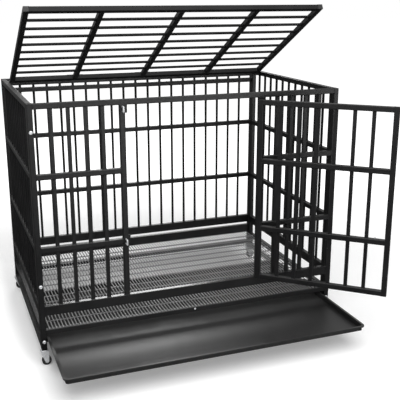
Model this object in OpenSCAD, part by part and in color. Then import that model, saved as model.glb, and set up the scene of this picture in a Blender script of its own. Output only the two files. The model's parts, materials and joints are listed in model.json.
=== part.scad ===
// Heavy duty dog crate of welded square tube, with a swing door, a lifting lid,
// a wire floor over a slide-out tray, and four swivel casters.
// Millimetres, +Z up, front towards -Y. The origin is on the floor under the crate's middle.

/* [Crate] */
// Width over the corner posts
crate_w = 1168; // [1000:4:1400]
// Depth over the corner posts
crate_d = 780; // [680:10:900]
// Height of the frame's top above the floor
crate_h = 946; // [900:2:1100]
// Side of the square frame tube
tube = 19; // [17:1:22]
// Wall of the frame tube
tube_wall = 1.2; // [0.8:0.1:2]
// Outer corner radius of the frame tube
tube_r = 2; // [1:0.5:3]
// Height of the tall rails under the bars
sill_h = 36; // [30:1:40]
// Top of those tall rails above the floor
sill_z = 228; // [216:1:240]
// Centre of the lower middle rails above the floor
lower_rail_z = 436; // [380:1:480]
// Centre of the upper middle rails above the floor
upper_rail_z = 696; // [620:1:740]
// Gap between the back's top rail and the second rail below it
second_rail_gap = 20; // [10:1:30]

/* [Bars] */
// Side of the square bars in the front and the door
bar = 12.5; // [10:0.5:14]
// Diameter of the round rods in the back, the sides and the lid
rod_d = 10.5; // [8:0.5:12]
// Wall of the bars and rods
bar_wall = 1; // [0.8:0.1:1.5]
// Bars on each side of the door
front_bar_count = 4; // [3:1:5]
// Bars in the door
door_bar_count = 6; // [4:1:7]
// Rods in the back
back_rod_count = 19; // [14:1:22]
// Rods in each side
side_rod_count = 11; // [8:1:13]
// Rods in the lid
lid_rod_count = 8; // [6:1:10]
// Cross bars in the lid, with a hinge behind each
lid_cross_count = 3; // [2:1:4]

/* [Door] */
// Clear width between the door's jambs
door_opening_w = 506; // [400:2:560]
// Gap round the door
door_gap = 4; // [3:0.5:6]
// How far the door stands open, in degrees
door_open = 138; // [0:1:170]
// Travel of the latch bolts
latch_travel = 22; // [18:1:24]

/* [Lid] */
// Gap between the back's top rail and the rail that carries the lid
lid_rail_set = 62; // [50:1:110]
// Gap between the lid and that rail
lid_hinge_gap = 12; // [8:1:16]
// Gap between the lid and the front's top rail
lid_front_gap = 20; // [6:1:30]
// Gap at each side of the lid
lid_side_gap = 5; // [4:0.5:8]
// How far the lid stands open, in degrees
lid_open = 28; // [0:1:110]

/* [Floor and tray] */
// Top of the base rails that carry the floor
floor_z = 138; // [132:1:150]
// Diameter of the close floor wires
wire_d = 4; // [3:0.5:5]
// Number of close floor wires
wire_count = 90; // [60:1:110]
// Diameter of the cross wires under them
cross_wire_d = 5; // [4:0.5:6]
// Number of cross wires
cross_wire_count = 12; // [8:1:16]
// Height of the tray
tray_h = 20; // [14:1:24]
// Sheet thickness of the tray
tray_wall = 1; // [0.8:0.1:1.5]
// How far the tray is pulled out
tray_out = 315; // [0:5:540]

/* [Casters] */
// Height of a caster under its post
caster_h = 60; // [54:1:70]
// Diameter of the wheel
wheel_d = 34; // [30:1:38]
// Width of the wheel
wheel_w = 16; // [12:1:18]
// Distance from the swivel axis to the axle
caster_trail = 6; // [4:1:10]

/* [Hidden] */
$fn = 48;

black_coat = [0.09, 0.09, 0.10];
bright_zinc = [0.72, 0.73, 0.75];
black_plastic = [0.05, 0.05, 0.05];
tray_coat = [0.16, 0.16, 0.16];

// Overrun of every cut past the face that it opens
overrun = 1;
// Play of a bar in its punched hole, all round
punch_play = 0.2;
// Play of a pin or shaft that turns, on the radius
running_play = 0.05;
// Play between faces that slide or swing past each other
moving_play = 0.4;
// Play under a welded wire
weld_play = 0.05;

// Frame of the crate, worked out from the driving sizes
half_w = crate_w / 2;
half_d = crate_d / 2;
post_x = half_w - tube / 2;
post_y = half_d - tube / 2;
inner_x = half_w - tube;
inner_y = half_d - tube;
rail_w = 2 * inner_x;
rail_d = 2 * inner_y;
under_top_z = crate_h - tube;
bar_h = under_top_z - sill_z;
bar_mid_z = (under_top_z + sill_z) / 2;
jamb_x = door_opening_w / 2 + tube / 2;
section_w = inner_x - jamb_x - tube / 2;
section_x = (inner_x + jamb_x + tube / 2) / 2;
second_rail_z = under_top_z - second_rail_gap - tube / 2;
foot_rail_z = caster_h + tube / 2;
stile_y = inner_y - tube / 2;
stile_inner_y = inner_y - tube;
side_rail_d = 2 * stile_inner_y;
stile_low_z = caster_h + tube;

// End caps of the tubes
cap_t = 2;
cap_plug = 8;
cap_play = 0.1;

// Bolts through the corner posts into the stiles of the side panels
bolt_d = 6;
bolt_head_d = 13;
bolt_head_h = 3.6;
bolt_reach = 10;
bolt_l = tube + bolt_reach;
bolt_foot_rise = 32;
bolt_low_rise = 76;
bolt_high_drop = 95;
bolt_levels = [caster_h + bolt_foot_rise, sill_z + bolt_low_rise, crate_h - bolt_high_drop];

// Screw in the middle of the front base rail
screw_d = 4;
screw_head_d = 8;
screw_head_h = 2.4;
screw_l = 10;
screw_drop = 7;

// Inserts in the feet of the posts
insert_h = 26;

// Back foot rail, which stops the tray, above the feet of the posts
back_foot_lift = 16;
// Rail that closes the back under the bars
back_base_h = 40;

// Hinges with a barrel standing in front of their seats
hinge_h = 66;
hinge_r = 5;
hinge_pin_r = 2.5;
hinge_offset = 6;
hinge_leaf_t = 2.5;
hinge_leaf_w = 12;
hinge_leaf_gap = 6;
hinge_pin_head_r = 3.8;
hinge_pin_head_h = 1.6;
knuckle_gap = 0.4;
knuckle_count = 3;
knuckle_h = (hinge_h - (knuckle_count - 1) * knuckle_gap) / knuckle_count;
door_hinge_shares = [0.16, 0.84];

// Door in its closed place
door_w = door_opening_w - 2 * door_gap;
door_low_z = sill_z + door_gap;
door_high_z = under_top_z - door_gap;
door_h = door_high_z - door_low_z;
door_mid_z = (door_high_z + door_low_z) / 2;
door_y = -half_d + tube / 2 - moving_play;
door_rail_w = door_w - 2 * tube;
door_bar_h = door_h - 2 * tube;
door_axis_x = door_opening_w / 2 - door_gap / 2;
door_axis_y = -half_d - hinge_offset;
door_top_rail_z = door_high_z - tube / 2;

// Door stops behind the closing stile
stop_w = 26;
stop_h = 34;
stop_t = 3;
stop_reach = 8;

// Slide bolts on the door and their keepers on the jamb
latch_bolt_r = 4;
latch_loop_r = 7;
latch_plate_t = 2;
latch_plate_h = 18;
latch_loop_w = 12;
latch_handle_room = 17;
latch_handle_rest = 12;
latch_plate_l = 2 * (latch_loop_w + latch_handle_room) + latch_travel;
latch_stand = 6;
latch_play = 0.3;
latch_inset = 2;
latch_tail = 6;
latch_bolt_l = latch_plate_l + latch_tail;
latch_handle_r = 3;
latch_handle_l = 16;
latch_knob_r = 5;
latch_handle_from_tip = latch_plate_l - latch_loop_w - latch_handle_rest;
keeper_r = 3;
keeper_play = 1;
latch_front_y = door_y - tube / 2;
latch_bolt_y = latch_front_y - latch_plate_t - latch_stand;
latch_plate_x = -door_w / 2 + latch_inset;

// Rail that carries the lid, and the lid in its closed place
lid_rail_y = inner_y - lid_rail_set - tube / 2;
lid_rail_front_y = lid_rail_y - tube / 2;
lid_w = rail_w - 2 * lid_side_gap;
lid_back_y = lid_rail_front_y - lid_hinge_gap;
lid_front_y = lid_front_gap - inner_y;
lid_d = lid_back_y - lid_front_y;
lid_y = (lid_back_y + lid_front_y) / 2;
lid_z = crate_h - tube / 2 + moving_play;
lid_inner_w = lid_w - 2 * tube;
lid_inner_d = lid_d - 2 * tube;
lid_axis_y = lid_rail_y;
lid_axis_z = crate_h + hinge_r + moving_play;
lid_leaf_gap = lid_axis_y - lid_back_y + tube_r;
lid_rest_share = 0.75;
lid_rest_w = lid_rest_share * (section_w / (front_bar_count + 1) - bar);
lid_cross_share = 0.262;
lid_cross_pitch = lid_cross_share * lid_w;
lid_rest_t = 2;
lid_rest_lap = 12;
lid_rest_hold = 14;
lid_rest_reach = lid_front_gap + lid_rest_hold;

// Floor
wire_z = floor_z + wire_d / 2 + weld_play;
cross_wire_z = floor_z - cross_wire_d / 2;
wire_lap = 15;

// Tray and its runners
runner_t = 2;
runner_reach = 22;
runner_leg = 20;
runner_lift = 24;
runner_z = caster_h + runner_lift;
tray_side_gap = 3;
tray_flange = 8;
tray_corner_r = 10;
tray_front_gap = 2;
tray_back_gap = 10;
tray_w = rail_w - 2 * tray_side_gap;
tray_front_y = -half_d + tray_front_gap;
tray_d = inner_y - tray_back_gap - tray_front_y;
tray_bottom_z = runner_z + moving_play;
tray_hem = 5;

// Casters
stem_r = 4;
stem_l = 22;
collar_r = 8;
collar_h = 3.6;
stem_head_r = 7;
stem_head_h = 2.4;
fork_top_t = 3;
fork_cheek_t = 2.5;
fork_top_w = 30;
fork_round_r = 7;
fork_wheel_gap = 1;
axle_r = 3;
axle_head_r = 5;
axle_head_h = 2;
hub_r = 9;
wheel_dish = 2;
wheel_round = 3;
fork_top_z = caster_h - collar_h - moving_play;
fork_inner = wheel_w / 2 + fork_wheel_gap;

// Centres of a count of bars spread evenly between two faces
function spread(count, low, high) = [for (i = [1:count]) low + (high - low) * i / (count + 1)];

left_bar_x = spread(front_bar_count, -inner_x, -jamb_x - tube / 2);
right_bar_x = spread(front_bar_count, jamb_x + tube / 2, inner_x);
door_bar_x = spread(door_bar_count, -door_rail_w / 2, door_rail_w / 2);
back_rod_x = spread(back_rod_count, -inner_x, inner_x);
side_rod_y = spread(side_rod_count, -stile_inner_y, stile_inner_y);
lid_rod_y = spread(lid_rod_count, lid_y - lid_inner_d / 2, lid_y + lid_inner_d / 2);
lid_cross_x = [for (i = [1:lid_cross_count]) (i - (lid_cross_count + 1) / 2) * lid_cross_pitch];

// Square with true round corners
module round_square(w, h, r) {
    square([w - 2 * r, h], center = true);
    square([w, h - 2 * r], center = true);
    for (x = [-1, 1], y = [-1, 1])
        translate([x * (w / 2 - r), y * (h / 2 - r)])
            circle(r);
}

// Section of a hollow tube
module tube_section(w, h) {
    difference() {
        round_square(w, h, tube_r);
        square([w - 2 * tube_wall, h - 2 * tube_wall], center = true);
    }
}

// Hollow tubes along each axis, about their own middle
module tube_x(length, h = tube) {
    rotate([90, 0, 90])
        linear_extrude(length, center = true)
            tube_section(tube, h);
}

module tube_y(length, h = tube) {
    rotate([90, 0, 0])
        linear_extrude(length, center = true)
            tube_section(tube, h);
}

module tube_z(length) {
    linear_extrude(length, center = true)
        tube_section(tube, tube);
}

// Upright square bar and round rod, hollow, about their own middle
module bar_z(length) {
    difference() {
        cube([bar, bar, length], center = true);
        cube([bar - 2 * bar_wall, bar - 2 * bar_wall, length + overrun], center = true);
    }
}

module rod_z(length) {
    difference() {
        cylinder(h = length, d = rod_d, center = true);
        cylinder(h = length + overrun, d = rod_d - 2 * bar_wall, center = true);
    }
}

// Punches for a bar and for a rod through a rail
module bar_punch() {
    cube([bar + 2 * punch_play, bar + 2 * punch_play, tube + overrun], center = true);
}

module rod_punch() {
    cylinder(h = tube + overrun, d = rod_d + 2 * punch_play, center = true);
}

// Cap for the upper end of an upright tube, with its plate above the origin
module tube_cap() {
    plug = tube - 2 * tube_wall - 2 * cap_play;
    linear_extrude(cap_t)
        round_square(tube, tube, tube_r);
    translate([0, 0, -cap_plug / 2])
        cube([plug, plug, cap_plug], center = true);
}

// Corner posts and what goes into their ends
module at_posts() {
    for (x = [-1, 1], y = [-1, 1])
        translate([x * post_x, y * post_y, 0])
            children();
}

module at_bolts() {
    for (x = [-1, 1], z = bolt_levels) {
        translate([x * post_x, -half_d, z])
            rotate([90, 0, 0])
                children();
        translate([x * post_x, half_d, z])
            rotate([-90, 0, 0])
                children();
    }
}

// Hole for a panel bolt through a post and the near wall of the stile behind it
module bolt_hole() {
    translate([0, 0, -tube - tube_wall - overrun])
        cylinder(h = tube + tube_wall + 2 * overrun, d = bolt_d + 2 * punch_play);
}

module corner_posts() {
    post_l = crate_h - cap_t - caster_h;
    color(black_coat)
        difference() {
            at_posts()
                translate([0, 0, caster_h + post_l / 2])
                    tube_z(post_l);
            at_bolts()
                bolt_hole();
        }
}

module post_caps() {
    color(black_plastic)
        at_posts()
            translate([0, 0, crate_h - cap_t])
                tube_cap();
}

module post_inserts() {
    side = tube - 2 * tube_wall - 2 * cap_play;
    color(black_plastic)
        at_posts()
            translate([0, 0, caster_h])
                difference() {
                    translate([0, 0, insert_h / 2])
                        cube([side, side, insert_h], center = true);
                    translate([0, 0, -overrun])
                        cylinder(h = insert_h + 2 * overrun, r = stem_r + running_play);
                }
}

// Domed screw with its head above the origin
module domed_screw(head_d, head_h, shank_d, shank_l) {
    translate([0, 0, -shank_l])
        cylinder(h = shank_l, d = shank_d);
    rotate_extrude()
        intersection() {
            translate([0, head_h - head_d])
                circle(head_d);
            square([head_d / 2, head_h]);
        }
}

module panel_bolts() {
    color(bright_zinc)
        at_bolts()
            domed_screw(bolt_head_d, bolt_head_h, bolt_d, bolt_l);
}

module at_base_screw() {
    translate([0, -half_d, floor_z - screw_drop])
        rotate([90, 0, 0])
            children();
}

module base_screw() {
    color(bright_zinc)
        at_base_screw()
            domed_screw(screw_head_d, screw_head_h, screw_d, screw_l);
}

// Front panel
module section_rail(places, middle_x, z) {
    difference() {
        translate([middle_x, -post_y, z])
            tube_x(section_w);
        for (x = places)
            translate([x, -post_y, z])
                bar_punch();
    }
}

module front_rails() {
    color(black_coat) {
        translate([0, -post_y, crate_h - tube / 2])
            tube_x(rail_w);
        translate([0, -post_y, sill_z - sill_h / 2])
            tube_x(rail_w, sill_h);
        for (z = [lower_rail_z, upper_rail_z]) {
            section_rail(left_bar_x, -section_x, z);
            section_rail(right_bar_x, section_x, z);
        }
    }
}

module door_jambs() {
    color(black_coat)
        for (x = [-jamb_x, jamb_x])
            translate([x, -post_y, bar_mid_z])
                tube_z(bar_h);
}

module front_bars() {
    color(black_coat)
        for (x = concat(left_bar_x, right_bar_x))
            translate([x, -post_y, bar_mid_z])
                bar_z(bar_h);
}

// Back panel
module back_rails() {
    color(black_coat) {
        translate([0, post_y, crate_h - tube / 2])
            tube_x(rail_w);
        translate([0, post_y, sill_z - sill_h / 2])
            tube_x(rail_w, sill_h);
        difference() {
            for (z = [lower_rail_z, upper_rail_z, second_rail_z])
                translate([0, post_y, z])
                    tube_x(rail_w);
            for (x = back_rod_x, z = [lower_rail_z, upper_rail_z, second_rail_z])
                translate([x, post_y, z])
                    rod_punch();
        }
    }
}

module back_rods() {
    color(black_coat)
        for (x = back_rod_x)
            translate([x, post_y, bar_mid_z])
                rod_z(bar_h);
}

// Side panels, on the left for a side of -1 and on the right for 1
module side_stiles(side) {
    stile_l = under_top_z - stile_low_z;
    color(black_coat)
        difference() {
            for (y = [-stile_y, stile_y])
                translate([side * post_x, y, stile_low_z + stile_l / 2])
                    tube_z(stile_l);
            at_bolts()
                bolt_hole();
        }
}

module side_rails(side) {
    color(black_coat) {
        translate([side * post_x, 0, crate_h - tube / 2])
            tube_y(rail_d);
        translate([side * post_x, 0, sill_z - sill_h / 2])
            tube_y(side_rail_d, sill_h);
        difference() {
            for (z = [lower_rail_z, upper_rail_z])
                translate([side * post_x, 0, z])
                    tube_y(side_rail_d);
            for (y = side_rod_y, z = [lower_rail_z, upper_rail_z])
                translate([side * post_x, y, z])
                    rod_punch();
        }
    }
}

module side_rods(side) {
    color(black_coat)
        for (y = side_rod_y)
            translate([side * post_x, y, bar_mid_z])
                rod_z(bar_h);
}

module left_stiles() {
    side_stiles(-1);
}

module left_rails() {
    side_rails(-1);
}

module left_rods() {
    side_rods(-1);
}

module right_stiles() {
    side_stiles(1);
}

module right_rails() {
    side_rails(1);
}

module right_rods() {
    side_rods(1);
}

// Base rails, foot rails, wire floor and tray runners
module base_rails() {
    color(black_coat) {
        difference() {
            translate([0, -post_y, floor_z - tube / 2])
                tube_x(rail_w);
            at_base_screw()
                translate([0, 0, -tube_wall - overrun])
                    cylinder(h = tube_wall + 2 * overrun, d = screw_d + 2 * punch_play);
        }
        translate([0, post_y, floor_z + back_base_h / 2])
            tube_x(rail_w, back_base_h);
        translate([0, post_y, foot_rail_z + back_foot_lift])
            tube_x(rail_w);
        for (side = [-1, 1]) {
            translate([side * post_x, 0, floor_z - tube / 2])
                tube_y(side_rail_d);
            translate([side * post_x, 0, foot_rail_z])
                tube_y(rail_d);
        }
    }
}

module floor_wires() {
    front_y = -inner_y - wire_lap;
    color(black_coat)
        for (x = spread(wire_count, -inner_x, inner_x))
            translate([x, inner_y, wire_z])
                rotate([90, 0, 0])
                    cylinder(h = inner_y - front_y, d = wire_d);
}

module floor_cross_wires() {
    color(black_coat)
        for (y = spread(cross_wire_count, -inner_y, inner_y))
            translate([0, y, cross_wire_z])
                rotate([0, 90, 0])
                    cylinder(h = rail_w, d = cross_wire_d, center = true);
}

module tray_runners() {
    color(black_coat)
        for (side = [-1, 1])
            translate([side * inner_x, 0, runner_z])
                rotate([90, 0, 0])
                    linear_extrude(rail_d, center = true)
                        polygon([
                            [0, 0],
                            [-side * runner_reach, 0],
                            [-side * runner_reach, -runner_t],
                            [-side * runner_t, -runner_t],
                            [-side * runner_t, -runner_leg],
                            [0, -runner_leg]
                        ]);
}

// Hinge parts about an upright pin at the origin, seats facing +Y
module hinge_bore() {
    cylinder(h = hinge_h + overrun, r = hinge_pin_r + running_play, center = true);
}

module at_knuckle(level) {
    translate([0, 0, level * (knuckle_h + knuckle_gap) - knuckle_h / 2])
        children();
}

// Leaf towards +X for a side of 1, a gap away from the pin, with its back on the seat
// and knuckles at the given levels
module hinge_leaf(side, levels, seat, gap = hinge_leaf_gap) {
    far = gap + hinge_leaf_w;
    difference() {
        union() {
            for (level = levels)
                at_knuckle(level) {
                    cylinder(h = knuckle_h, r = hinge_r);
                    translate([min(0, side * gap), seat - hinge_leaf_t, 0])
                        cube([gap, hinge_leaf_t, knuckle_h]);
                }
            translate([min(side * gap, side * far), seat - hinge_leaf_t, -hinge_h / 2])
                cube([hinge_leaf_w, hinge_leaf_t, hinge_h]);
        }
        hinge_bore();
    }
}

module hinge_pin() {
    cylinder(h = hinge_h, r = hinge_pin_r, center = true);
    for (turn = [0, 180])
        rotate([turn, 0, 0])
            translate([0, 0, hinge_h / 2])
                cylinder(h = hinge_pin_head_h, r = hinge_pin_head_r);
}

// Door hinges, stops and keepers on the front panel
module at_door_hinges() {
    for (share = door_hinge_shares)
        translate([door_axis_x, door_axis_y, door_low_z + share * door_h])
            children();
}

module door_hinge_leaves() {
    color(black_coat)
        at_door_hinges()
            hinge_leaf(1, [-1, 1], hinge_offset);
}

module door_hinge_pins() {
    color(bright_zinc)
        at_door_hinges()
            hinge_pin();
}

module at_latches() {
    for (z = [door_top_rail_z, lower_rail_z])
        translate([0, 0, z])
            children();
}

module door_stops() {
    edge_x = -door_w / 2 + stop_reach;
    color(black_coat)
        at_latches()
            translate([edge_x - stop_w, -inner_y, -stop_h / 2])
                cube([stop_w, stop_t, stop_h]);
}

// Loop along +X from the origin on the bolt's axis, standing on a face at +Y
module latch_loop(length, face_y) {
    rotate([0, 90, 0])
        cylinder(h = length, r = latch_loop_r);
    translate([0, 0, -latch_loop_r])
        cube([length, face_y, 2 * latch_loop_r]);
}

module latch_loop_bore(length) {
    translate([-overrun, 0, 0])
        rotate([0, 90, 0])
            cylinder(h = length + 2 * overrun, r = latch_bolt_r + latch_play);
}

// Staples of round bar that the bolts pass behind
module door_keepers() {
    reach = latch_bolt_r + keeper_play + keeper_r;
    color(bright_zinc)
        at_latches()
            translate([-jamb_x, latch_bolt_y - reach, 0]) {
                cylinder(h = 2 * reach, r = keeper_r, center = true);
                for (z = [-reach, reach])
                    translate([0, 0, z]) {
                        sphere(keeper_r);
                        rotate([-90, 0, 0])
                            cylinder(h = -half_d - latch_bolt_y + reach, r = keeper_r);
                    }
            }
}

// Lid hinges with their rail, and rests on the frame
module lid_hinge_rail() {
    color(black_coat)
        translate([0, lid_rail_y, crate_h - tube / 2])
            tube_x(rail_w);
}

module at_lid_hinges() {
    for (x = lid_cross_x)
        translate([x, lid_axis_y, lid_axis_z])
            rotate([-90, 0, 90])
                children();
}

// Outer knuckles, each on a foot that stands on the rail
module lid_hinge_straps() {
    color(black_coat)
        at_lid_hinges()
            for (level = [-1, 1])
                difference() {
                    at_knuckle(level) {
                        cylinder(h = knuckle_h, r = hinge_r);
                        translate([-hinge_r, 0, 0])
                            cube([2 * hinge_r, hinge_r + moving_play, knuckle_h]);
                    }
                    hinge_bore();
                }
}

module lid_hinge_pins() {
    color(bright_zinc)
        at_lid_hinges()
            hinge_pin();
}

module lid_rests() {
    rest_x = (right_bar_x[front_bar_count - 1] + right_bar_x[front_bar_count - 2]) / 2;
    color(black_coat)
        for (x = [-rest_x, rest_x])
            translate([x - lid_rest_w / 2, -inner_y - lid_rest_lap, under_top_z - lid_rest_t])
                cube([lid_rest_w, lid_rest_lap + lid_rest_reach, lid_rest_t]);
}

// Door, drawn closed and then swung about its hinge pins
module swing_door() {
    translate([door_axis_x, door_axis_y, 0])
        rotate([0, 0, door_open])
            translate([-door_axis_x, -door_axis_y, 0])
                children();
}

module door_stiles() {
    color(black_coat)
        swing_door()
            for (side = [-1, 1])
                translate([side * (door_w - tube) / 2, door_y, door_mid_z])
                    tube_z(door_h - 2 * cap_t);
}

module door_rails() {
    color(black_coat)
        swing_door() {
            for (z = [door_low_z + tube / 2, door_top_rail_z])
                translate([0, door_y, z])
                    tube_x(door_rail_w);
            for (z = [lower_rail_z, upper_rail_z])
                difference() {
                    translate([0, door_y, z])
                        tube_x(door_rail_w);
                    for (x = door_bar_x)
                        translate([x, door_y, z])
                            bar_punch();
                }
        }
}

module door_bars() {
    color(black_coat)
        swing_door()
            for (x = door_bar_x)
                translate([x, door_y, door_mid_z])
                    bar_z(door_bar_h);
}

module door_caps() {
    color(black_plastic)
        swing_door()
            for (side = [-1, 1]) {
                translate([side * (door_w - tube) / 2, door_y, door_high_z - cap_t])
                    tube_cap();
                translate([side * (door_w - tube) / 2, door_y, door_low_z + cap_t])
                    rotate([180, 0, 0])
                        tube_cap();
            }
}

module door_leaves() {
    color(black_coat)
        swing_door()
            at_door_hinges()
                hinge_leaf(-1, [0], hinge_offset - moving_play);
}

module latch_guides() {
    face_y = latch_front_y - latch_bolt_y;
    color(bright_zinc)
        swing_door()
            at_latches()
                translate([latch_plate_x, latch_bolt_y, 0])
                    difference() {
                        union() {
                            for (x = [0, latch_plate_l - latch_loop_w])
                                translate([x, 0, 0])
                                    latch_loop(latch_loop_w, face_y);
                            translate([0, face_y - latch_plate_t, -latch_plate_h / 2])
                                cube([latch_plate_l, latch_plate_t, latch_plate_h]);
                        }
                        latch_loop_bore(latch_plate_l);
                    }
}

// Slide bolt with its tip at the guides' outer end, drawn back
module latch_bolt(z) {
    color(bright_zinc)
        swing_door()
            translate([latch_plate_x, latch_bolt_y, z]) {
                rotate([0, 90, 0])
                    cylinder(h = latch_bolt_l, r = latch_bolt_r);
                translate([latch_handle_from_tip, 0, 0])
                    rotate([90, 0, 0]) {
                        cylinder(h = latch_handle_l, r = latch_handle_r);
                        translate([0, 0, latch_handle_l])
                            sphere(latch_knob_r);
                    }
            }
}

module upper_latch_bolt() {
    latch_bolt(door_top_rail_z);
}

module lower_latch_bolt() {
    latch_bolt(lower_rail_z);
}

// Lid, drawn closed and then raised about its hinge pins
module raise_lid() {
    translate([0, lid_axis_y, lid_axis_z])
        rotate([-lid_open, 0, 0])
            translate([0, -lid_axis_y, -lid_axis_z])
                children();
}

module lid_side_rails() {
    color(black_coat)
        raise_lid()
            for (side = [-1, 1])
                translate([side * (lid_w - tube) / 2, lid_y, lid_z])
                    tube_y(lid_d - 2 * cap_t);
}

module lid_end_rails() {
    color(black_coat)
        raise_lid()
            for (end = [-1, 1])
                translate([0, lid_y + end * (lid_d - tube) / 2, lid_z])
                    tube_x(lid_inner_w);
}

module lid_cross_bars() {
    color(black_coat)
        raise_lid()
            for (x = lid_cross_x)
                difference() {
                    translate([x, lid_y, lid_z])
                        tube_y(lid_inner_d);
                    for (y = lid_rod_y)
                        translate([x, y, lid_z])
                            rotate([0, 90, 0])
                                rod_punch();
                }
}

module lid_rods() {
    color(black_coat)
        raise_lid()
            for (y = lid_rod_y)
                translate([0, y, lid_z])
                    rotate([0, 90, 0])
                        rod_z(lid_inner_w);
}

module lid_caps() {
    color(black_plastic)
        raise_lid()
            for (side = [-1, 1], end = [-1, 1])
                translate([side * (lid_w - tube) / 2, lid_y + end * (lid_d / 2 - cap_t), lid_z])
                    rotate([-end * 90, 0, 0])
                        tube_cap();
}

module lid_leaves() {
    color(black_coat)
        raise_lid()
            at_lid_hinges()
                hinge_leaf(-1, [0], hinge_r, lid_leaf_gap);
}

// Tray with a hemmed flange
module tray_outline(grow) {
    pan_w = tray_w - 2 * tray_flange;
    pan_d = tray_d - 2 * tray_flange;
    round_square(pan_w + 2 * grow, pan_d + 2 * grow, tray_corner_r + grow);
}

module tray() {
    rim_z = tray_h - tray_hem;
    color(tray_coat)
        translate([0, tray_front_y - tray_out + tray_d / 2, tray_bottom_z]) {
            difference() {
                union() {
                    linear_extrude(tray_h)
                        tray_outline(0);
                    translate([0, 0, rim_z])
                        linear_extrude(tray_hem)
                            tray_outline(tray_flange);
                }
                translate([0, 0, tray_wall])
                    linear_extrude(tray_h)
                        tray_outline(-tray_wall);
                translate([0, 0, rim_z - overrun])
                    linear_extrude(tray_hem - tray_wall + overrun)
                        difference() {
                            tray_outline(tray_flange - tray_wall);
                            tray_outline(0);
                        }
            }
        }
}

// Casters, drawn about their swivel axis with the wheel trailing towards +X
module caster_stems() {
    color(bright_zinc)
        at_posts() {
            translate([0, 0, caster_h])
                cylinder(h = stem_l, r = stem_r);
            translate([0, 0, caster_h - collar_h])
                cylinder(h = collar_h, r = collar_r);
            translate([0, 0, fork_top_z - fork_top_t - moving_play])
                cylinder(h = collar_h + fork_top_t + moving_play, r = stem_r);
            translate([0, 0, fork_top_z - fork_top_t - moving_play - stem_head_h])
                cylinder(h = stem_head_h, r = stem_head_r);
        }
}

module at_caster(x, y) {
    translate([x * post_x, y * post_y, 0])
        children();
}

module fork_outline() {
    axle_z = wheel_d / 2;
    translate([caster_trail, axle_z])
        circle(fork_round_r);
    polygon([
        [-fork_top_w / 2, fork_top_z],
        [-fork_top_w / 2, fork_top_z - fork_top_t],
        [caster_trail - fork_round_r, axle_z],
        [caster_trail + fork_round_r, axle_z],
        [fork_top_w / 2, fork_top_z - fork_top_t],
        [fork_top_w / 2, fork_top_z]
    ]);
}

module caster_fork() {
    half = fork_inner + fork_cheek_t;
    color(bright_zinc)
        difference() {
            union() {
                for (y = [-half, fork_inner])
                    translate([0, y + fork_cheek_t, 0])
                        rotate([90, 0, 0])
                            linear_extrude(fork_cheek_t)
                                fork_outline();
                translate([-fork_top_w / 2, -half, fork_top_z - fork_top_t])
                    cube([fork_top_w, 2 * half, fork_top_t]);
            }
            translate([0, 0, fork_top_z - fork_top_t - overrun])
                cylinder(h = fork_top_t + 2 * overrun, r = stem_r + running_play);
            translate([caster_trail, 0, wheel_d / 2])
                rotate([90, 0, 0])
                    cylinder(h = 2 * half + overrun, r = axle_r + running_play, center = true);
        }
}

module caster_axle() {
    half = fork_inner + fork_cheek_t;
    color(bright_zinc)
        translate([caster_trail, 0, wheel_d / 2])
            rotate([90, 0, 0]) {
                cylinder(h = 2 * half, r = axle_r, center = true);
                for (z = [-half - axle_head_h, half])
                    translate([0, 0, z])
                        cylinder(h = axle_head_h, r = axle_head_r);
            }
}

module caster_wheel() {
    radius = wheel_d / 2;
    half = wheel_w / 2;
    color(black_plastic)
        translate([caster_trail, 0, radius])
            rotate([90, 0, 0])
                rotate_extrude()
                    difference() {
                        union() {
                            translate([0, -half])
                                square([radius - wheel_round, wheel_w]);
                            translate([0, wheel_round - half])
                                square([radius, wheel_w - 2 * wheel_round]);
                            for (y = [-1, 1])
                                translate([radius - wheel_round, y * (half - wheel_round)])
                                    circle(wheel_round);
                        }
                        translate([0, -half - overrun])
                            square([axle_r + running_play, wheel_w + 2 * overrun]);
                        for (y = [half - wheel_dish, -half - overrun])
                            translate([hub_r, y])
                                square([radius - 2 * wheel_round - hub_r, wheel_dish + overrun]);
                    }
}

module caster_fork_front_left() {
    at_caster(-1, -1) caster_fork();
}

module caster_fork_front_right() {
    at_caster(1, -1) caster_fork();
}

module caster_fork_back_left() {
    at_caster(-1, 1) caster_fork();
}

module caster_fork_back_right() {
    at_caster(1, 1) caster_fork();
}

module caster_axle_front_left() {
    at_caster(-1, -1) caster_axle();
}

module caster_axle_front_right() {
    at_caster(1, -1) caster_axle();
}

module caster_axle_back_left() {
    at_caster(-1, 1) caster_axle();
}

module caster_axle_back_right() {
    at_caster(1, 1) caster_axle();
}

module caster_wheel_front_left() {
    at_caster(-1, -1) caster_wheel();
}

module caster_wheel_front_right() {
    at_caster(1, -1) caster_wheel();
}

module caster_wheel_back_left() {
    at_caster(-1, 1) caster_wheel();
}

module caster_wheel_back_right() {
    at_caster(1, 1) caster_wheel();
}

corner_posts();
post_caps();
post_inserts();
panel_bolts();
base_screw();
front_rails();
door_jambs();
front_bars();
back_rails();
back_rods();
left_stiles();
left_rails();
left_rods();
right_stiles();
right_rails();
right_rods();
base_rails();
floor_wires();
floor_cross_wires();
tray_runners();
door_hinge_leaves();
door_hinge_pins();
door_keepers();
door_stops();
lid_hinge_rail();
lid_hinge_straps();
lid_hinge_pins();
lid_rests();
door_stiles();
door_rails();
door_bars();
door_caps();
door_leaves();
latch_guides();
upper_latch_bolt();
lower_latch_bolt();
lid_side_rails();
lid_end_rails();
lid_cross_bars();
lid_rods();
lid_caps();
lid_leaves();
tray();
caster_stems();
caster_fork_front_left();
caster_fork_front_right();
caster_fork_back_left();
caster_fork_back_right();
caster_axle_front_left();
caster_axle_front_right();
caster_axle_back_left();
caster_axle_back_right();
caster_wheel_front_left();
caster_wheel_front_right();
caster_wheel_back_left();
caster_wheel_back_right();
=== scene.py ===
import bpy
import bmesh
import json
import math
from mathutils import Matrix, Vector


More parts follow.
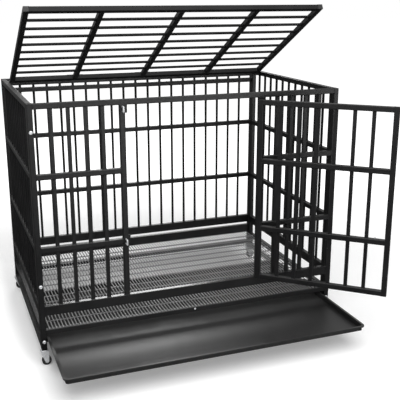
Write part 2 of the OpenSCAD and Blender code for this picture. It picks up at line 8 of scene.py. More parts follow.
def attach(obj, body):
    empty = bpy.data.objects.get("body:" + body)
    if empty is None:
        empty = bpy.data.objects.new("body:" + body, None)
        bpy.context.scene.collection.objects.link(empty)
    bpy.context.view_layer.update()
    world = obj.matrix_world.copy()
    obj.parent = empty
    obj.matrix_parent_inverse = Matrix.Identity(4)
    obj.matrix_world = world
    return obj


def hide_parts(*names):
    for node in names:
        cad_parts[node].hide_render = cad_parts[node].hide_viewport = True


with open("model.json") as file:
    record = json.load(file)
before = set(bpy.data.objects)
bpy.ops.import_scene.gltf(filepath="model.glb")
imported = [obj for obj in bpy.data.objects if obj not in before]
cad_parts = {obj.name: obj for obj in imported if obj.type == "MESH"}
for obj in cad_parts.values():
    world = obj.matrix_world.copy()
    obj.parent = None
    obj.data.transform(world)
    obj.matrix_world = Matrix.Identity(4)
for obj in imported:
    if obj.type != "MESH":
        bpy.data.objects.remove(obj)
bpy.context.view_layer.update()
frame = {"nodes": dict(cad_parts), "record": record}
nodes = frame["nodes"]
record = frame["record"]
scene = bpy.context.scene
print("frame loaded,", len(nodes), "nodes")


# places of the tubes and bars, in metres: overall from the frame, the rest as the crate was drawn
crate = {
    "lowerRail": 0.436, "upperRail": 0.696, "sill": 0.036, "baseTop": 0.138, "secondGap": 0.020,
    "backBase": 0.040, "footLift": 0.016, "play": 0.0004, "doorGap": 0.004,
    "lidSide": 0.005, "lidHinge": 0.012, "lidFront": 0.020, "rod": 0.0105, "bar": 0.0125,
    "frontBars": 4, "doorBars": 6, "backRods": 19, "sideRods": 11, "lidRods": 8,
}


def boxOf(name):
    spots = [nodes[name].matrix_world @ Vector(corner) for corner in nodes[name].bound_box]
    return [Vector([pick(s[i] for s in spots) for i in range(3)]) for pick in (min, max)]


postLow, postHigh = boxOf("corner_posts")
jambLow, jambHigh = boxOf("door_jambs")
lidRailLow, lidRailHigh = boxOf("lid_hinge_rail")
stileLow, stileHigh = boxOf("left_stiles")
hingeLow, hingeHigh = boxOf("door_hinge_leaves")
crossHigh = boxOf("lid_cross_bars")[1]
tube = lidRailHigh.z - lidRailLow.z
halfTube = tube / 2
postX, postY = postHigh.x - halfTube, postHigh.y - halfTube
innerX, innerY = postHigh.x - tube, postHigh.y - tube
stileY, stileFace = innerY - halfTube, innerY - tube
sillTop, underTop = jambLow.z, jambHigh.z
jambX, jambFace, jambInner = jambHigh.x - halfTube, jambHigh.x, jambHigh.x - tube
crateTop, topRail = underTop + tube, underTop + halfTube
secondRail = underTop - crate["secondGap"] - halfTube
sillRail, baseRail = sillTop - crate["sill"] / 2, crate["baseTop"] - halfTube
backBase, footRail = crate["baseTop"] + crate["backBase"] / 2, postLow.z + halfTube
midRails = (crate["lowerRail"], crate["upperRail"])
joints = {joint["name"]: joint for joint in record["behaviour"]["joints"]}
signs = (-1, 1)


class Value:
    # a socket that can stand in a sum
    def __init__(self, finish, socket):
        self.finish = finish
        self.socket = socket

    def sum(self, operation, first, second):
        return self.finish.add("ShaderNodeMath", {"operation": operation}, {0: first, 1: second})

    def __add__(self, other):
        return self.sum("ADD", self, other)

    def __radd__(self, other):
        return self.sum("ADD", other, self)

    def __sub__(self, other):
        return self.sum("SUBTRACT", self, other)

    def __rsub__(self, other):
        return self.sum("SUBTRACT", other, self)

    def __mul__(self, other):
        return self.sum("MULTIPLY", self, other)

    def __rmul__(self, other):
        return self.sum("MULTIPLY", other, self)


class Finish:
    # writes the nodes of one material, or of the world when its tree is given
    def __init__(self, name, tree=None):
        if tree is None:
            self.material = bpy.data.materials.new(name)
            self.material.use_nodes = True
            tree = self.material.node_tree
        self.tree = tree
        self.tree.nodes.clear()

    def add(self, kind, settings=None, inputs=None, output=0):
        node = self.tree.nodes.new(kind)
        for key, value in (settings or {}).items():
            setattr(node, key, value)
        for key, value in (inputs or {}).items():
            if isinstance(value, Value):
                self.tree.links.new(value.socket, node.inputs[key])
            else:
                node.inputs[key].default_value = value
        return Value(self, node.outputs[output]) if node.outputs else None

    def where(self):
        return self.add("ShaderNodeTexCoord", output="Object")

    def part(self, vector, axis):
        return self.add("ShaderNodeSeparateXYZ", None, {0: vector}, axis)

    def ray(self, kind):
        return self.add("ShaderNodeLightPath", output=kind)

    def noise(self, where, scale, detail, rough=0.55):
        return self.add("ShaderNodeTexNoise", None, {
            "Vector": where, "Scale": scale, "Detail": detail, "Roughness": rough})

    def stretch(self, where, scale):
        return self.add("ShaderNodeMapping", None, {"Vector": where, "Scale": scale})

    def ramp(self, value, span):
        made = self.add("ShaderNodeValToRGB", None, {"Fac": value})
        for element, place, tone in zip(made.socket.node.color_ramp.elements, span, (0, 1)):
            element.position = place
            element.color = (tone, tone, tone, 1)
        return made

    def step(self, value, start, end, low, high):
        return self.add("ShaderNodeMapRange", {"interpolation_type": "SMOOTHSTEP"}, {
            "Value": value, "From Min": start, "From Max": end, "To Min": low, "To Max": high})

    def blend(self, factor, first, second):
        first, second = [tone if isinstance(tone, Value) else (*tone, 1) for tone in (first, second)]
        # 6, 7 and 2 are the mix node's colour sockets
        return self.add("ShaderNodeMix", {"data_type": "RGBA"}, {0: factor, 6: first, 7: second}, 2)

    def bump(self, height, strength, distance, under=None):
        inputs = {"Height": height, "Strength": strength, "Distance": distance}
        if under is not None:
            inputs["Normal"] = under
        return self.add("ShaderNodeBump", None, inputs)

    def close(self, shader):
        self.add("ShaderNodeOutputMaterial", None, {"Surface": shader})
        return self.material

    def surface(self, inputs):
        return self.close(self.add("ShaderNodeBsdfPrincipled", None, inputs))


# in the dictionaries of the finishes, a noise is its scale and detail, a bump its strength and depth,
# a span the stretch of noise that fades in, and a name ending in Rough what is added to the roughness

# black powder coat: fine orange peel, cloudy sheen, a breath of dust on top faces
coat = {
    "cloud": (9, 4), "cloudSpan": (0.35, 0.68), "cloudRough": 0.10, "speck": (260, 2), "speckRough": 0.10,
    "upSpan": (0.6, 0.95), "grime": (34, 5), "grimeSpan": (0.46, 0.75),
    "dust": (0.075, 0.072, 0.068), "dustShare": 0.35, "dustRough": 0.25,
    "peel": (820, 2), "peelBump": (0.35, 0.00035), "wave": (95, 3), "waveBump": (0.12, 0.0006),
    "band": 0.001, "frontLip": 0.005, "fade": 0.003, "polish": 0.22, "handlingRough": 0.35,
}
coatLooks = {
    "powderCoat": {"dark": (0.004, 0.004, 0.0043), "pale": (0.008, 0.008, 0.0083),
                   "roughness": 0.29, "shine": 0.4},
    "dullCoat": {"dark": (0.004, 0.004, 0.0043), "pale": (0.009, 0.009, 0.0093),
                 "roughness": 0.46, "shine": 0.2},
    # pale tone of the floor's wires: a painted highlight for the glint of the back light
    "wireHighlightCoat": {"dark": (0.22, 0.22, 0.222), "pale": (0.29, 0.29, 0.292),
                 "roughness": 0.25, "shine": 1.0},
}


def powderCoat(name):
    look = coatLooks[name]
    f = Finish(name)
    where = f.where()
    cloud = f.noise(where, *coat["cloud"])
    speck = f.noise(where, *coat["speck"])
    tone = f.blend(f.ramp(cloud, coat["cloudSpan"]), look["dark"], look["pale"])
    up = f.ramp(f.part(f.add("ShaderNodeNewGeometry", output="Normal"), "Z"), coat["upSpan"])
    dust = up * f.ramp(f.noise(where, *coat["grime"]), coat["grimeSpan"]) * coat["dustShare"]
    tone = f.blend(dust, tone, coat["dust"])
    gloss = look["roughness"] + coat["cloudRough"] * cloud + coat["speckRough"] * speck
    gloss = gloss + coat["dustRough"] * dust
    # along the front, the sill's top is polished by use, and the top rail's is dull from handling
    height, band, fade = f.part(where, "Z"), coat["band"], coat["fade"]
    frontBack = coat["frontLip"] - innerY
    front = up * f.step(f.part(where, "Y"), frontBack, frontBack + fade, 1, 0)
    sill = f.step(height, sillTop - band - fade, sillTop - band, 0, 1)
    sill = sill * f.step(height, sillTop + band, sillTop + band + fade, 1, 0)
    handled = f.step(height, crateTop - band - fade, crateTop - band, 0, 1)
    gloss = gloss + front * (coat["handlingRough"] * handled - coat["polish"] * sill)
    normal = f.bump(f.noise(where, *coat["peel"]), *coat["peelBump"])
    normal = f.bump(f.noise(where, *coat["wave"]), *coat["waveBump"], normal)
    return f.surface({
        "Base Color": tone, "Roughness": gloss, "Normal": normal, "Specular IOR Level": look["shine"]})


# satin sheet of the tray: long waves, drag marks, and scuffed dull where it rides under the floor
trayLook = {
    "dark": (0.006, 0.006, 0.006), "pale": (0.011, 0.011, 0.0108), "roughness": 0.38, "shine": 0.8,
    "cloud": (3.2, 4), "cloudSpan": (0.3, 0.75), "cloudRough": 0.10,
    "drag": (1, 3), "dragStretch": (220, 3.5, 60), "markSpan": (0.60, 0.72),
    "markTone": (0.07, 0.07, 0.07), "markShare": 0.18, "markRough": 0.08,
    "rearStart": -0.37, "rearEnd": -0.27, "rearWaver": 0.14, "rearRough": 0.40,
    "wave": (2.6, 1), "waveBump": (0.25, 0.006), "grain": (640, 2), "grainBump": (0.18, 0.0003),
}


def trayCoat(look):
    f = Finish("trayCoat")
    where = f.where()
    cloud = f.noise(where, *look["cloud"])
    mark = f.ramp(f.noise(f.stretch(where, look["dragStretch"]), *look["drag"]), look["markSpan"])
    tone = f.blend(f.ramp(cloud, look["cloudSpan"]), look["dark"], look["pale"])
    tone = f.blend(look["markShare"] * mark, tone, look["markTone"])
    edge = f.part(where, "Y") + look["rearWaver"] * cloud
    rear = f.step(edge, look["rearStart"], look["rearEnd"], 0, look["rearRough"])
    gloss = look["roughness"] + look["cloudRough"] * cloud + look["markRough"] * mark + rear
    normal = f.bump(f.noise(where, *look["wave"]), *look["waveBump"])
    normal = f.bump(f.noise(where, *look["grain"]), *look["grainBump"], normal)
    return f.surface({
        "Base Color": tone, "Roughness": gloss, "Normal": normal, "Specular IOR Level": look["shine"]})


# zinc plate: bright but chalky, a little blotchy from the passivation bath
zincLook = {
    "bright": (0.80, 0.81, 0.82), "dull": (0.60, 0.61, 0.63), "roughness": 0.30, "metal": 0.45,
    "blotch": (130, 4), "blotchSpan": (0.35, 0.7), "blotchRough": 0.16,
    "grain": (1500, 2), "grainRough": 0.06, "grainBump": (0.15, 0.0002),
}


def zincPlate(look):
    f = Finish("zincPlate")
    where = f.where()
    blotch = f.noise(where, *look["blotch"])
    grain = f.noise(where, *look["grain"])
    tone = f.blend(f.ramp(blotch, look["blotchSpan"]), look["bright"], look["dull"])
    gloss = look["roughness"] + look["blotchRough"] * blotch + look["grainRough"] * grain
    return f.surface({
        "Base Color": tone, "Roughness": gloss, "Metallic": look["metal"],
        "Normal": f.bump(grain, *look["grainBump"])})


# moulded plastic of the caps and inserts
capLook = {
    "dark": (0.005, 0.005, 0.005), "pale": (0.011, 0.011, 0.011), "roughness": 0.52,
    "cloud": (60, 3), "grain": (2400, 1), "grainRough": 0.14, "grainBump": (0.25, 0.0002),
}


def mouldedPlastic(look):
    f = Finish("mouldedPlastic")
    where = f.where()
    grain = f.noise(where, *look["grain"])
    return f.surface({
        "Base Color": f.blend(f.noise(where, *look["cloud"]), look["dark"], look["pale"]),
        "Roughness": look["roughness"] + look["grainRough"] * grain,
        "Normal": f.bump(grain, *look["grainBump"])})


# caster wheel: matt black with floor dust in the scuffs
wheelLook = {
    "dark": (0.012, 0.012, 0.012), "dust": (0.085, 0.080, 0.074), "dustShare": 0.5, "roughness": 0.58,
    "scuff": (170, 5, 0.7), "scuffSpan": (0.5, 0.78), "scuffRough": 0.2,
    "grain": (1800, 2), "grainBump": (0.3, 0.0003),
}


def wheelRubber(look):
    f = Finish("wheelRubber")
    where = f.where()
    scuff = f.ramp(f.noise(where, *look["scuff"]), look["scuffSpan"])
    return f.surface({
        "Base Color": f.blend(look["dustShare"] * scuff, look["dark"], look["dust"]),
        "Roughness": look["roughness"] + look["scuffRough"] * scuff,
        "Normal": f.bump(f.noise(where, *look["grain"]), *look["grainBump"])})


finishes = {
    "black_coat": powderCoat("powderCoat"), "tray_coat": trayCoat(trayLook),
    "bright_zinc": zincPlate(zincLook), "black_plastic": mouldedPlastic(capLook),
    "wheel_rubber": wheelRubber(wheelLook),
}
# thin rods are duller than the tubes, and the floor's wires get a pale coat that is a painted highlight,
# standing in for the back light's glint on them
ownCoats = {
    "dullCoat": ("back_rods", "left_rods", "right_rods", "lid_rods", "lid_end_rails"),
    "wireHighlightCoat": ("floor_wires", "floor_cross_wires"),
}
special = {}
for coatName, nodeNames in ownCoats.items():
    special.update(dict.fromkeys(nodeNames, powderCoat(coatName)))
for part in record["subparts"]:
    node = nodes[part["node"]]
    node.data.materials.clear()
    node.data.materials.append(special.get(part["node"], finishes[part["material_slot"]]))
print("finishes made:", ", ".join(sorted(finishes)))


# plain floor: white away from the crate and keeping its shadow near it, with a painted shadow under the
# crate and painted light beside its left side
floorLook = {
    "half": 30, "tone": 0.80, "liftNear": 0.28, "liftFar": 0.88, "nearEnd": 1.1, "farStart": 2.4,
    "underMid": (0.0, 0.05, 0.0), "underHalf": (0.60, 0.56), "underEdge": 0.10,
    "paintedShadowDrop": 0.26, "paintedShadowTone": 0.12,
    "paintedLightLift": 0.26, "besideStart": -0.59, "besideEnd": -0.68,
    "mirroredTone": 0.08, "mirroredLeft": 0.45, "leftStart": -1.2, "leftEnd": -2.2,
    "behindStart": 0.5, "behindEnd": 1.5,
}
white = (1, 1, 1, 1)


def floorFinish(look):
    f = Finish("studioFloor")
    where = f.where()
    # mirrored in the coat, the floor is dark but for the far left
    left = f.step(f.part(where, "X"), look["leftEnd"], look["leftStart"], 1, 0)
    left = left * f.step(f.part(where, "Y"), look["behindStart"], look["behindEnd"], 0, 1)
    dim = look["mirroredTone"] + left * (look["mirroredLeft"] - look["mirroredTone"])
    tone = look["tone"] + f.ray("Is Glossy Ray") * (dim - look["tone"])
    away = f.add("ShaderNodeVectorMath", {"operation": "LENGTH"}, {0: where}, "Value")
    lift = f.step(away, look["nearEnd"], look["farStart"], look["liftNear"], look["liftFar"])
    # painted shadow: in a box under the crate the floor gets less glow and a darker tone, whatever light
    # falls there
    spot = f.add("ShaderNodeVectorMath", {"operation": "SUBTRACT"}, {0: where, 1: look["underMid"]})
    spot = f.add("ShaderNodeVectorMath", {"operation": "ABSOLUTE"}, {0: spot})
    under = 1
    for axis, half in zip("XY", look["underHalf"]):
        under = f.step(f.part(spot, axis), half - look["underEdge"], half, 1, 0) * under
    # painted light: extra glow, seen only by the camera, left of the crate whitens out the crate's shadow
    # there
    beside = f.step(f.part(where, "X"), look["besideEnd"], look["besideStart"], look["paintedLightLift"], 0)
    lift = lift + beside - under * look["paintedShadowDrop"]
    tone = tone * (1 - under * look["paintedShadowTone"])
    matt = f.add("ShaderNodeBsdfDiffuse", None, {"Color": tone})
    glow = f.add("ShaderNodeEmission", None, {"Color": white, "Strength": f.ray("Is Camera Ray") * lift})
    return f.close(f.add("ShaderNodeAddShader", None, {0: matt, 1: glow}))


def makeFloor(look):
    mesh = bpy.data.meshes.new("studioFloor")
    corners = [(x * look["half"], y * look["half"], 0) for x, y in ((-1, -1), (1, -1), (1, 1), (-1, 1))]
    mesh.from_pydata(corners, [], [range(len(corners))])
    mesh.materials.append(floorFinish(look))
    floor = bpy.data.objects.new("studioFloor", mesh)
    scene.collection.objects.link(floor)


# soft light from all round, white behind the crate
worldLook = {"ambient": 0.25, "mirrored": 0.50}


def makeWorld(look):
    world = bpy.data.worlds.new("studioWorld")
    world.use_nodes = True
    scene.world = world
    f = Finish("studioWorld", world.node_tree)
    level = look["ambient"] + f.ray("Is Camera Ray") * (1 - look["ambient"])
    level = level + f.ray("Is Glossy Ray") * (look["mirrored"] - look["ambient"])
    shader = f.add("ShaderNodeBackground", None, {"Color": white, "Strength": level})
    f.add("ShaderNodeOutputWorld", None, {"Surface": shader})


lamps = {
    "topLamp": {"place": (-0.3, -2.8, 4.0), "aim": (0.0, -0.3, 0.3), "size": (4.0, 4.0), "watts": 225},
    "backLamp": {"place": (1.0, 4.2, 2.45), "aim": (0.0, -0.2, 0.4), "size": (1.4, 1.4), "watts": 54},
    "frontLamp": {"place": (1.6, -4.2, 0.45), "aim": (0.2, -0.4, 0.8), "size": (3.6, 0.7), "watts": 38},
    "sideLamp": {"place": (-2.4, -3.2, 1.0), "aim": (0.5, -0.6, 0.6), "size": (1.2, 1.2), "watts": 8},
}


def makeLamp(name, look):
    lamp = bpy.data.lights.new(name, "AREA")
    lamp.shape = "RECTANGLE"
    lamp.size, lamp.size_y = look["size"]
    lamp.energy = look["watts"]
    lampObject = bpy.data.objects.new(name, lamp)
    lampObject.location = look["place"]
    beam = Vector(look["aim"]) - Vector(look["place"])
    lampObject.rotation_euler = beam.to_track_quat("-Z", "Y").to_euler()
    lampObject.visible_camera = False
    scene.collection.objects.link(lampObject)


# the photograph's viewpoint
camera = {
    "place": (-0.8825, -2.7883, 1.2937), "tilt": 74.06, "turn": -20.63, "lens": 65.22,
    "sensor": 36, "reach": 100,
}


def makeCamera(look):
    eye = bpy.data.cameras.new("photoCamera")
    eye.lens = look["lens"]
    eye.sensor_width = look["sensor"]
    eye.clip_end = look["reach"]
    eyeObject = bpy.data.objects.new("photoCamera", eye)
    eyeObject.location = look["place"]
    eyeObject.rotation_euler = (math.radians(look["tilt"]), 0, math.radians(look["turn"]))
    scene.collection.objects.link(eyeObject)
    scene.camera = eyeObject
    scene.view_settings.view_transform = "Standard"


makeFloor(floorLook)
makeWorld(worldLook)
for name, look in lamps.items():
    makeLamp(name, look)
makeCamera(camera)
print("studio ready")


# turns of a seam or a fastener, drawn lying flat and facing up
alongX = Matrix(((0, 0, 1), (1, 0, 0), (0, 1, 0))).to_4x4()
alongY = Matrix(((1, 0, 0), (0, 0, -1), (0, 1, 0))).to_4x4()
alongZ = Matrix.Identity(4)
toFront = Matrix.Rotation(math.pi / 2, 4, "X")
toBack = Matrix.Rotation(-math.pi / 2, 4, "X")


def at(x, y, z, turn=alongZ):
    return Matrix.Translation((x, y, z)) @ turn


def spread(count, low, high):
    return [low + (high - low) * (i + 1) / (count + 1) for i in range(count)]


# turns what was drawn closed into the pose of the photograph
def opened(name):
    joint = joints[name]
    pivot = Vector(joint["pos_m"])
    turn = Matrix.Rotation(math.radians(-joint["range_deg"][0]), 4, Vector(joint["axis"]))
    return Matrix.Translation(pivot) @ turn @ Matrix.Translation(-pivot)


doorPose, lidPose = opened("door_swing"), opened("lid_lift")


# one point for each place, with its turn kept beside it
def pointCloud(name, places):
    mesh = bpy.data.meshes.new(name)
    mesh.from_pydata([m.to_translation() for m in places], [], [])
    turns = mesh.attributes.new("turn", "FLOAT_VECTOR", "POINT")
    for item, m in zip(turns.data, places):
        item.vector = m.to_euler()
    cloud = bpy.data.objects.new(name, mesh)
    scene.collection.objects.link(cloud)
    return cloud


class Tree:
    # writes the nodes of one geometry tree, with a named input for each value that it is given
    def __init__(self, name, **inputs):
        self.group = bpy.data.node_groups.new(name, "GeometryNodeTree")
        face = self.group.interface
        face.new_socket("Geometry", in_out="INPUT", socket_type="NodeSocketGeometry")
        face.new_socket("Geometry", in_out="OUTPUT", socket_type="NodeSocketGeometry")
        self.keys = {}
        for label, kind in {**inputs, "Finish": "Material"}.items():
            socket = face.new_socket(label, in_out="INPUT", socket_type="NodeSocket" + kind)
            self.keys[label] = socket.identifier
        self.start = self.group.nodes.new("NodeGroupInput")
        self.end = self.group.nodes.new("NodeGroupOutput")

    def given(self, label):
        return self.start.outputs[label]

    def add(self, kind, settings=None, inputs=None, output=0):
        node = self.group.nodes.new(kind)
        for key, value in (settings or {}).items():
            setattr(node, key, value)
        for key, value in (inputs or {}).items():
            if isinstance(value, bpy.types.NodeSocket):
                self.group.links.new(value, node.inputs[key])
            else:
                node.inputs[key].default_value = value
        return node.outputs[output]

    # a copy of the shape on every point, at the point's turn
    def copies(self, shape, **more):
        kind = {"data_type": "FLOAT_VECTOR"}
        turn = self.add("GeometryNodeInputNamedAttribute", kind, {"Name": "turn"})
        turn = self.add("FunctionNodeEulerToRotation", None, {0: turn})
        spots = self.add("GeometryNodeInstanceOnPoints", None, {
            "Points": self.given("Geometry"), "Instance": shape, "Rotation": turn, **more})
        return self.add("GeometryNodeRealizeInstances", None, {0: spots})

    def close(self, geometry):
        shown = self.add("GeometryNodeSetMaterial", None, {
            "Geometry": geometry, "Material": self.given("Finish")})
        self.group.links.new(shown, self.end.inputs[0])


# runs a tree on its points and leaves a plain mesh that rides on one body
def settle(name, tree, sizes, places, body, slot):
    cloud = pointCloud(name + "Points", places)
    modifier = cloud.modifiers.new("made", "NODES")
    modifier.node_group = tree.group
    for label, value in {**sizes, "Finish": finishes[slot]}.items():
        modifier[tree.keys[label]] = value
    bpy.context.view_layer.update()
    depsgraph = bpy.context.evaluated_depsgraph_get()
    mesh = bpy.data.meshes.new_from_object(cloud.evaluated_get(depsgraph))
    mesh.name = name
    bpy.data.objects.remove(cloud)
    piece = bpy.data.objects.new(name, mesh)
    scene.collection.objects.link(piece)
    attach(piece, body)
    print(" ", name, len(mesh.polygons), "faces")
    return piece


# weld seams: a rippled bead round each bar and tube end
weld = {
    "bead": 0.0013, "sides": 6, "ripple": 0.0007, "step": 0.0011, "grain": 620.0, "seed": 3.0,
    "sink": 0.0004, "corner": 0.002, "cornerSteps": 4, "rodPlay": 0.0012, "barPlay": 0.001,
}


def weldTree():
    t = Tree("weldBead", Width="Float", Height="Float", Corner="Float", Steps="Int")
    path = t.add("GeometryNodeCurvePrimitiveQuadrilateral", None, {
        "Width": t.given("Width"), "Height": t.given("Height")})
    path = t.add("GeometryNodeFilletCurve", {"mode": "POLY"}, {
        "Curve": path, "Radius": t.given("Corner"), "Count": weld["cornerSteps"]})
    path = t.add("GeometryNodeResampleCurve", None, {"Curve": path, "Count": t.given("Steps")})
    section = t.add("GeometryNodeCurvePrimitiveCircle", None, {
        "Resolution": weld["sides"], "Radius": weld["bead"]})
    bead = t.add("GeometryNodeCurveToMesh", None, {"Curve": path, "Profile Curve": section})
    noise = t.add("ShaderNodeTexNoise", {"noise_dimensions": "4D"}, {
        "W": weld["seed"], "Scale": weld["grain"], "Detail": 0.0})
    # swells and dips by the ripple as the noise goes from 1 to 0
    swell = t.add("ShaderNodeMath", {"operation": "MULTIPLY_ADD"}, {
        0: noise, 1: 2 * weld["ripple"], 2: -weld["ripple"]})
    push = t.add("ShaderNodeVectorMath", {"operation": "SCALE"}, {
        0: t.add("GeometryNodeInputNormal"), "Scale": swell})
    t.close(t.add("GeometryNodeSetPosition", None, {"Geometry": t.copies(bead), "Offset": push}))
    return t


welding = weldTree()


def weldSeams(name, width, height, corner, places, body):
    shrink = 2 * weld["sink"]
    settle(name, welding, {
        "Width": width - shrink, "Height": height - shrink, "Corner": corner - weld["sink"],
        "Steps": round(2 * (width + height) / weld["step"])}, places, body, "black_coat")


def rodWelds(name, places, body):
    size = crate["rod"] + weld["rodPlay"]
    weldSeams(name, size, size, size / 2, places, body)


def barWelds(name, places, body):
    size = crate["bar"] + weld["barPlay"]
    weldSeams(name, size, size, weld["corner"], places, body)


def tubeWelds(name, places, body, height=tube):
    weldSeams(name, tube, height, weld["corner"], places, body)


# faces of the rails that an upright meets
def uprightFaces(low, high, *rails):
    return [low, high] + [z + side for z in rails for side in (-halfTube, halfTube)]


def crateWelds():
    backRods = spread(crate["backRods"], -innerX, innerX)
    sideRods = spread(crate["sideRods"], -stileFace, stileFace)
    rodSeams = [at(x, postY, z) for x in backRods
                for z in uprightFaces(sillTop, underTop, *midRails, secondRail)]
    rodSeams += [at(side * postX, y, z) for side in signs for y in sideRods
                 for z in uprightFaces(sillTop, underTop, *midRails)]
    rodWelds("rodWelds", rodSeams, "crate")
    frontBars = spread(crate["frontBars"], -innerX, -jambFace)
    frontBars += spread(crate["frontBars"], jambFace, innerX)
    barWelds("barWelds", [
        at(x, -postY, z) for x in frontBars for z in uprightFaces(sillTop, underTop, *midRails)], "crate")
    tubeSeams, tallSeams = [], []
    for side in signs:
        tubeSeams += [at(side * innerX, -postY, z, alongX) for z in (topRail, *midRails, baseRail)]
        tubeSeams += [at(side * innerX, postY, z, alongX)
                      for z in (topRail, secondRail, *midRails, footRail + crate["footLift"])]
        tubeSeams.append(at(side * innerX, lidRailLow.y + halfTube, topRail, alongX))
        tubeSeams += [at(side * jambFace, -postY, z, alongX) for z in midRails]
        tubeSeams += [at(side * jambX, -postY, z) for z in (sillTop, underTop)]
        tallSeams += [at(side * innerX, y, sillRail, alongX) for y in (-postY, postY)]
        for end in signs:
            tubeSeams += [at(side * postX, end * innerY, z, alongY) for z in (topRail, footRail)]
            tubeSeams += [at(side * postX, end * stileFace, z, alongY) for z in (*midRails, baseRail)]
            tubeSeams += [at(side * postX, end * stileY, z) for z in (stileLow.z, stileHigh.z)]
            tallSeams.append(at(side * postX, end * stileFace, sillRail, alongY))
    tubeWelds("tubeWelds", tubeSeams, "crate")
    tubeWelds("tallTubeWelds", tallSeams, "crate", crate["sill"])
    tubeWelds("backBaseWelds", [
        at(side * innerX, postY, backBase, alongX) for side in signs], "crate", crate["backBase"])


# edges and levels of the shut door and lid
doorY, doorHalf = -postY - crate["play"], jambInner - crate["doorGap"]
doorLow = sillTop + crate["doorGap"] + halfTube
doorHigh = underTop - crate["doorGap"] - halfTube
lidZ, lidHalf = topRail + crate["play"], innerX - crate["lidSide"]
lidBack, lidFront = lidRailLow.y - crate["lidHinge"], crate["lidFront"] - innerY
crossPitch = crossHigh.x - halfTube
crossBars = (-crossPitch, 0, crossPitch)


def doorWelds():
    barWelds("doorBarWelds", [
        doorPose @ at(x, doorY, z) for x in spread(crate["doorBars"], tube - doorHalf, doorHalf - tube)
        for z in uprightFaces(doorLow + halfTube, doorHigh - halfTube, *midRails)], "door")
    tubeWelds("doorTubeWelds", [
        doorPose @ at(side * (doorHalf - tube), doorY, z, alongX) for side in signs
        for z in (doorLow, *midRails, doorHigh)], "door")


def lidWelds():
    rodWelds("lidRodWelds", [
        lidPose @ at(x, y, lidZ, alongX) for x in uprightFaces(tube - lidHalf, lidHalf - tube, *crossBars)
        for y in spread(crate["lidRods"], lidFront + tube, lidBack - tube)], "lid")
    lidSeams = [lidPose @ at(side * (lidHalf - tube), y, lidZ, alongX) for side in signs
                for y in (lidFront + halfTube, lidBack - halfTube)]
    lidSeams += [lidPose @ at(x, y, lidZ, alongY) for x in crossBars
                 for y in (lidFront + tube, lidBack - tube)]
    tubeWelds("lidTubeWelds", lidSeams, "lid")


crateWelds()
doorWelds()
lidWelds()
print("weld seams made")


sharpAngle = math.radians(38)  # a steeper bend between two faces shows as an edge


# round shapes turned from a profile of radii and heights: rings from hexFrom on are six-sided,
# and a looped profile closes on itself instead of getting end faces
def lathe(name, profile, sides, hexFrom=None, looped=False):
    mesh = bpy.data.meshes.new(name)
    bm = bmesh.new()
    rings = []
    for order, (radius, z) in enumerate(profile):
        ring = []
        for i in range(sides):
            angle = 2 * math.pi * i / sides
            reach = radius
            if hexFrom is not None and order >= hexFrom:
                reach = radius / math.cos((angle + math.pi / 6) % (math.pi / 3) - math.pi / 6)
            ring.append(bm.verts.new((reach * math.cos(angle), reach * math.sin(angle), z)))
        rings.append(ring)
    pairs = list(zip(rings, rings[1:])) + ([(rings[-1], rings[0])] if looped else [])
    for low, high in pairs:
        for i in range(sides):
            bm.faces.new((low[i], low[(i + 1) % sides], high[(i + 1) % sides], high[i]))
    if not looped:
        bm.faces.new(list(reversed(rings[0])))
        bm.faces.new(rings[-1])
    bmesh.ops.recalc_face_normals(bm, faces=bm.faces)
    bm.to_mesh(mesh)
    bm.free()
    for polygon in mesh.polygons:
        polygon.use_smooth = True
    mesh.set_sharp_from_angle(angle=sharpAngle)
    shape = bpy.data.objects.new(name, mesh)
    scene.collection.objects.link(shape)
    return shape


# outline of a small head, from its shares of radius and height
def dome(spec):
    return [(wide * spec["radius"], high * spec["height"]) for wide, high in spec["domeShares"]]


def scatterTree(pattern):
    t = Tree("scatter" + pattern.name, Pattern="Object", Size="Float")
    shape = t.add("GeometryNodeObjectInfo", None, {"Object": t.given("Pattern")}, "Geometry")
    t.close(t.copies(shape, Scale=t.given("Size")))
    return t


def scatter(name, tree, pattern, places, body, slot, size=1.0):
    return settle(name, tree, {"Pattern": pattern, "Size": size}, places, body, slot)


# socket-head bolts in the posts, and the small screw of the base rail
bolt = {
    "radius": 0.0065, "height": 0.0036, "sides": 24, "shank": 0.003, "length": 0.029,
    "domeShares": ((1, 0), (1, 0.28), (0.96, 0.5), (0.83, 0.76), (0.66, 0.93), (0.52, 1)),
    "socket": 0.0022, "depth": 0.0022, "mouthShare": 1.08, "chamferShare": 0.94,
    "aboveFoot": 0.032, "aboveSill": 0.076, "belowTop": 0.095, "screwScale": 0.62, "screwDrop": 0.007,
}


def boltHead(spec):
    shank = [(spec["shank"], -spec["length"]), (spec["shank"], 0)]
    outside = shank + dome(spec)
    socket = [(spec["mouthShare"] * spec["socket"], spec["height"]),
              (spec["socket"], spec["chamferShare"] * spec["height"]),
              (spec["socket"], spec["height"] - spec["depth"])]
    return lathe("boltPattern", outside + socket, spec["sides"], len(outside))


boltPattern = boltHead(bolt)
boltTree = scatterTree(boltPattern)
boltLevels = (postLow.z + bolt["aboveFoot"], sillTop + bolt["aboveSill"], crateTop - bolt["belowTop"])
boltPlaces = []
for side in signs:
    boltPlaces += [at(side * postX, -postHigh.y, z, toFront) for z in boltLevels]
    boltPlaces += [at(side * postX, postHigh.y, z, toBack) for z in boltLevels]
postBolts = scatter("postBolts", boltTree, boltPattern, boltPlaces, "crate", "bright_zinc")
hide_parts("panel_bolts")
screwPlace = at(0, -postHigh.y, crate["baseTop"] - bolt["screwDrop"], toFront)
baseScrew = scatter(
    "baseScrew", boltTree, boltPattern, [screwPlace], "crate", "bright_zinc", bolt["screwScale"])
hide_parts("base_screw")
bpy.data.objects.remove(boltPattern)


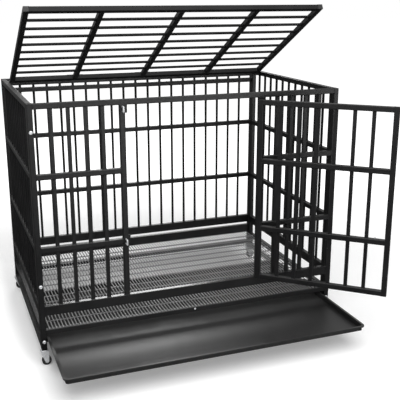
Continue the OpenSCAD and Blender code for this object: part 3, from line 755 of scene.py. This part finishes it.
# rivets that hold the hinge leaves and the latch plates
rivet = {
    "radius": 0.003, "height": 0.0014, "sides": 16, "sink": 0.0005, "small": 0.8,
    "domeShares": ((1, 0.15), (0.85, 0.6), (0.55, 0.9), (0.2, 1)),
    "leaf": 0.0025, "leafMid": 0.012, "halfHinge": 0.033, "pitch": 0.022, "lidInset": 0.008,
    "plate": 0.002, "plateInset": 0.002, "plateEnds": (0.018, 0.062), "plateRows": (-0.006, 0.006),
}
rivetPattern = lathe("rivetPattern", [(rivet["radius"], -rivet["sink"])] + dome(rivet), rivet["sides"])
rivetTree = scatterTree(rivetPattern)
hingeX = joints["door_swing"]["pos_m"][0]
rivetSteps = (-rivet["pitch"], 0, rivet["pitch"])
hingeMids = (hingeLow.z + rivet["halfHinge"], hingeHigh.z - rivet["halfHinge"])
hingeSpots = [z + step for z in hingeMids for step in rivetSteps]
jambLeaf = -postHigh.y - rivet["leaf"]
doorLeaf = -postHigh.y - crate["play"] - rivet["leaf"]
doorPlate = -postHigh.y - crate["play"] - rivet["plate"]
scatter("jambRivets", rivetTree, rivetPattern, [
    at(hingeX + rivet["leafMid"], jambLeaf, z, toFront) for z in hingeSpots], "crate", "black_coat")
scatter("doorRivets", rivetTree, rivetPattern, [
    doorPose @ at(hingeX - rivet["leafMid"], doorLeaf, z, toFront) for z in hingeSpots],
    "door", "black_coat")
scatter("latchRivets", rivetTree, rivetPattern, [
    doorPose @ at(rivet["plateInset"] - doorHalf + x, doorPlate, z + row, toFront)
    for x in rivet["plateEnds"] for z in (crate["lowerRail"], doorHigh) for row in rivet["plateRows"]],
    "door", "bright_zinc", rivet["small"])
scatter("lidRivets", rivetTree, rivetPattern, [
    lidPose @ at(x + step, lidBack - rivet["lidInset"], lidZ + halfTube + rivet["leaf"])
    for x in crossBars for step in rivetSteps], "lid", "black_coat")
bpy.data.objects.remove(rivetPattern)


# weld nuggets where the floor's wires cross
nugget = {
    "radius": 0.0034, "height": 0.0012, "sides": 8, "wires": 90, "crossWires": 12,
    "domeShares": ((0.5, -1), (1, 0), (0.5, 1)),
}
nuggetPattern = lathe("nuggetPattern", dome(nugget), nugget["sides"])
scatter("floorNuggets", scatterTree(nuggetPattern), nuggetPattern, [
    at(x, y, crate["baseTop"]) for x in spread(nugget["wires"], -innerX, innerX)
    for y in spread(nugget["crossWires"], -innerY, innerY)], "crate", "black_coat")
bpy.data.objects.remove(nuggetPattern)


# pressed cup round each caster's collar
cup = {"inner": 0.0090, "outer": 0.0108, "low": 0.0559, "high": 0.0593, "lip": 0.0004, "sides": 32}
cupPattern = lathe("cupPattern", [
    (cup["inner"], cup["low"]), (cup["outer"], cup["low"]), (cup["outer"], cup["high"] - cup["lip"]),
    (cup["outer"] - cup["lip"], cup["high"]), (cup["inner"] + cup["lip"], cup["high"]),
    (cup["inner"], cup["high"] - cup["lip"])], cup["sides"], looped=True)
cupTree = scatterTree(cupPattern)
for name in ("front_left", "front_right", "back_left", "back_right"):
    x, y, _ = joints["caster_swivel_" + name]["pos_m"]
    scatter("casterCup_" + name, cupTree, cupPattern, [at(x, y, 0)], "caster_" + name, "bright_zinc")
bpy.data.objects.remove(cupPattern)
print("bolts, rivets and cups made")
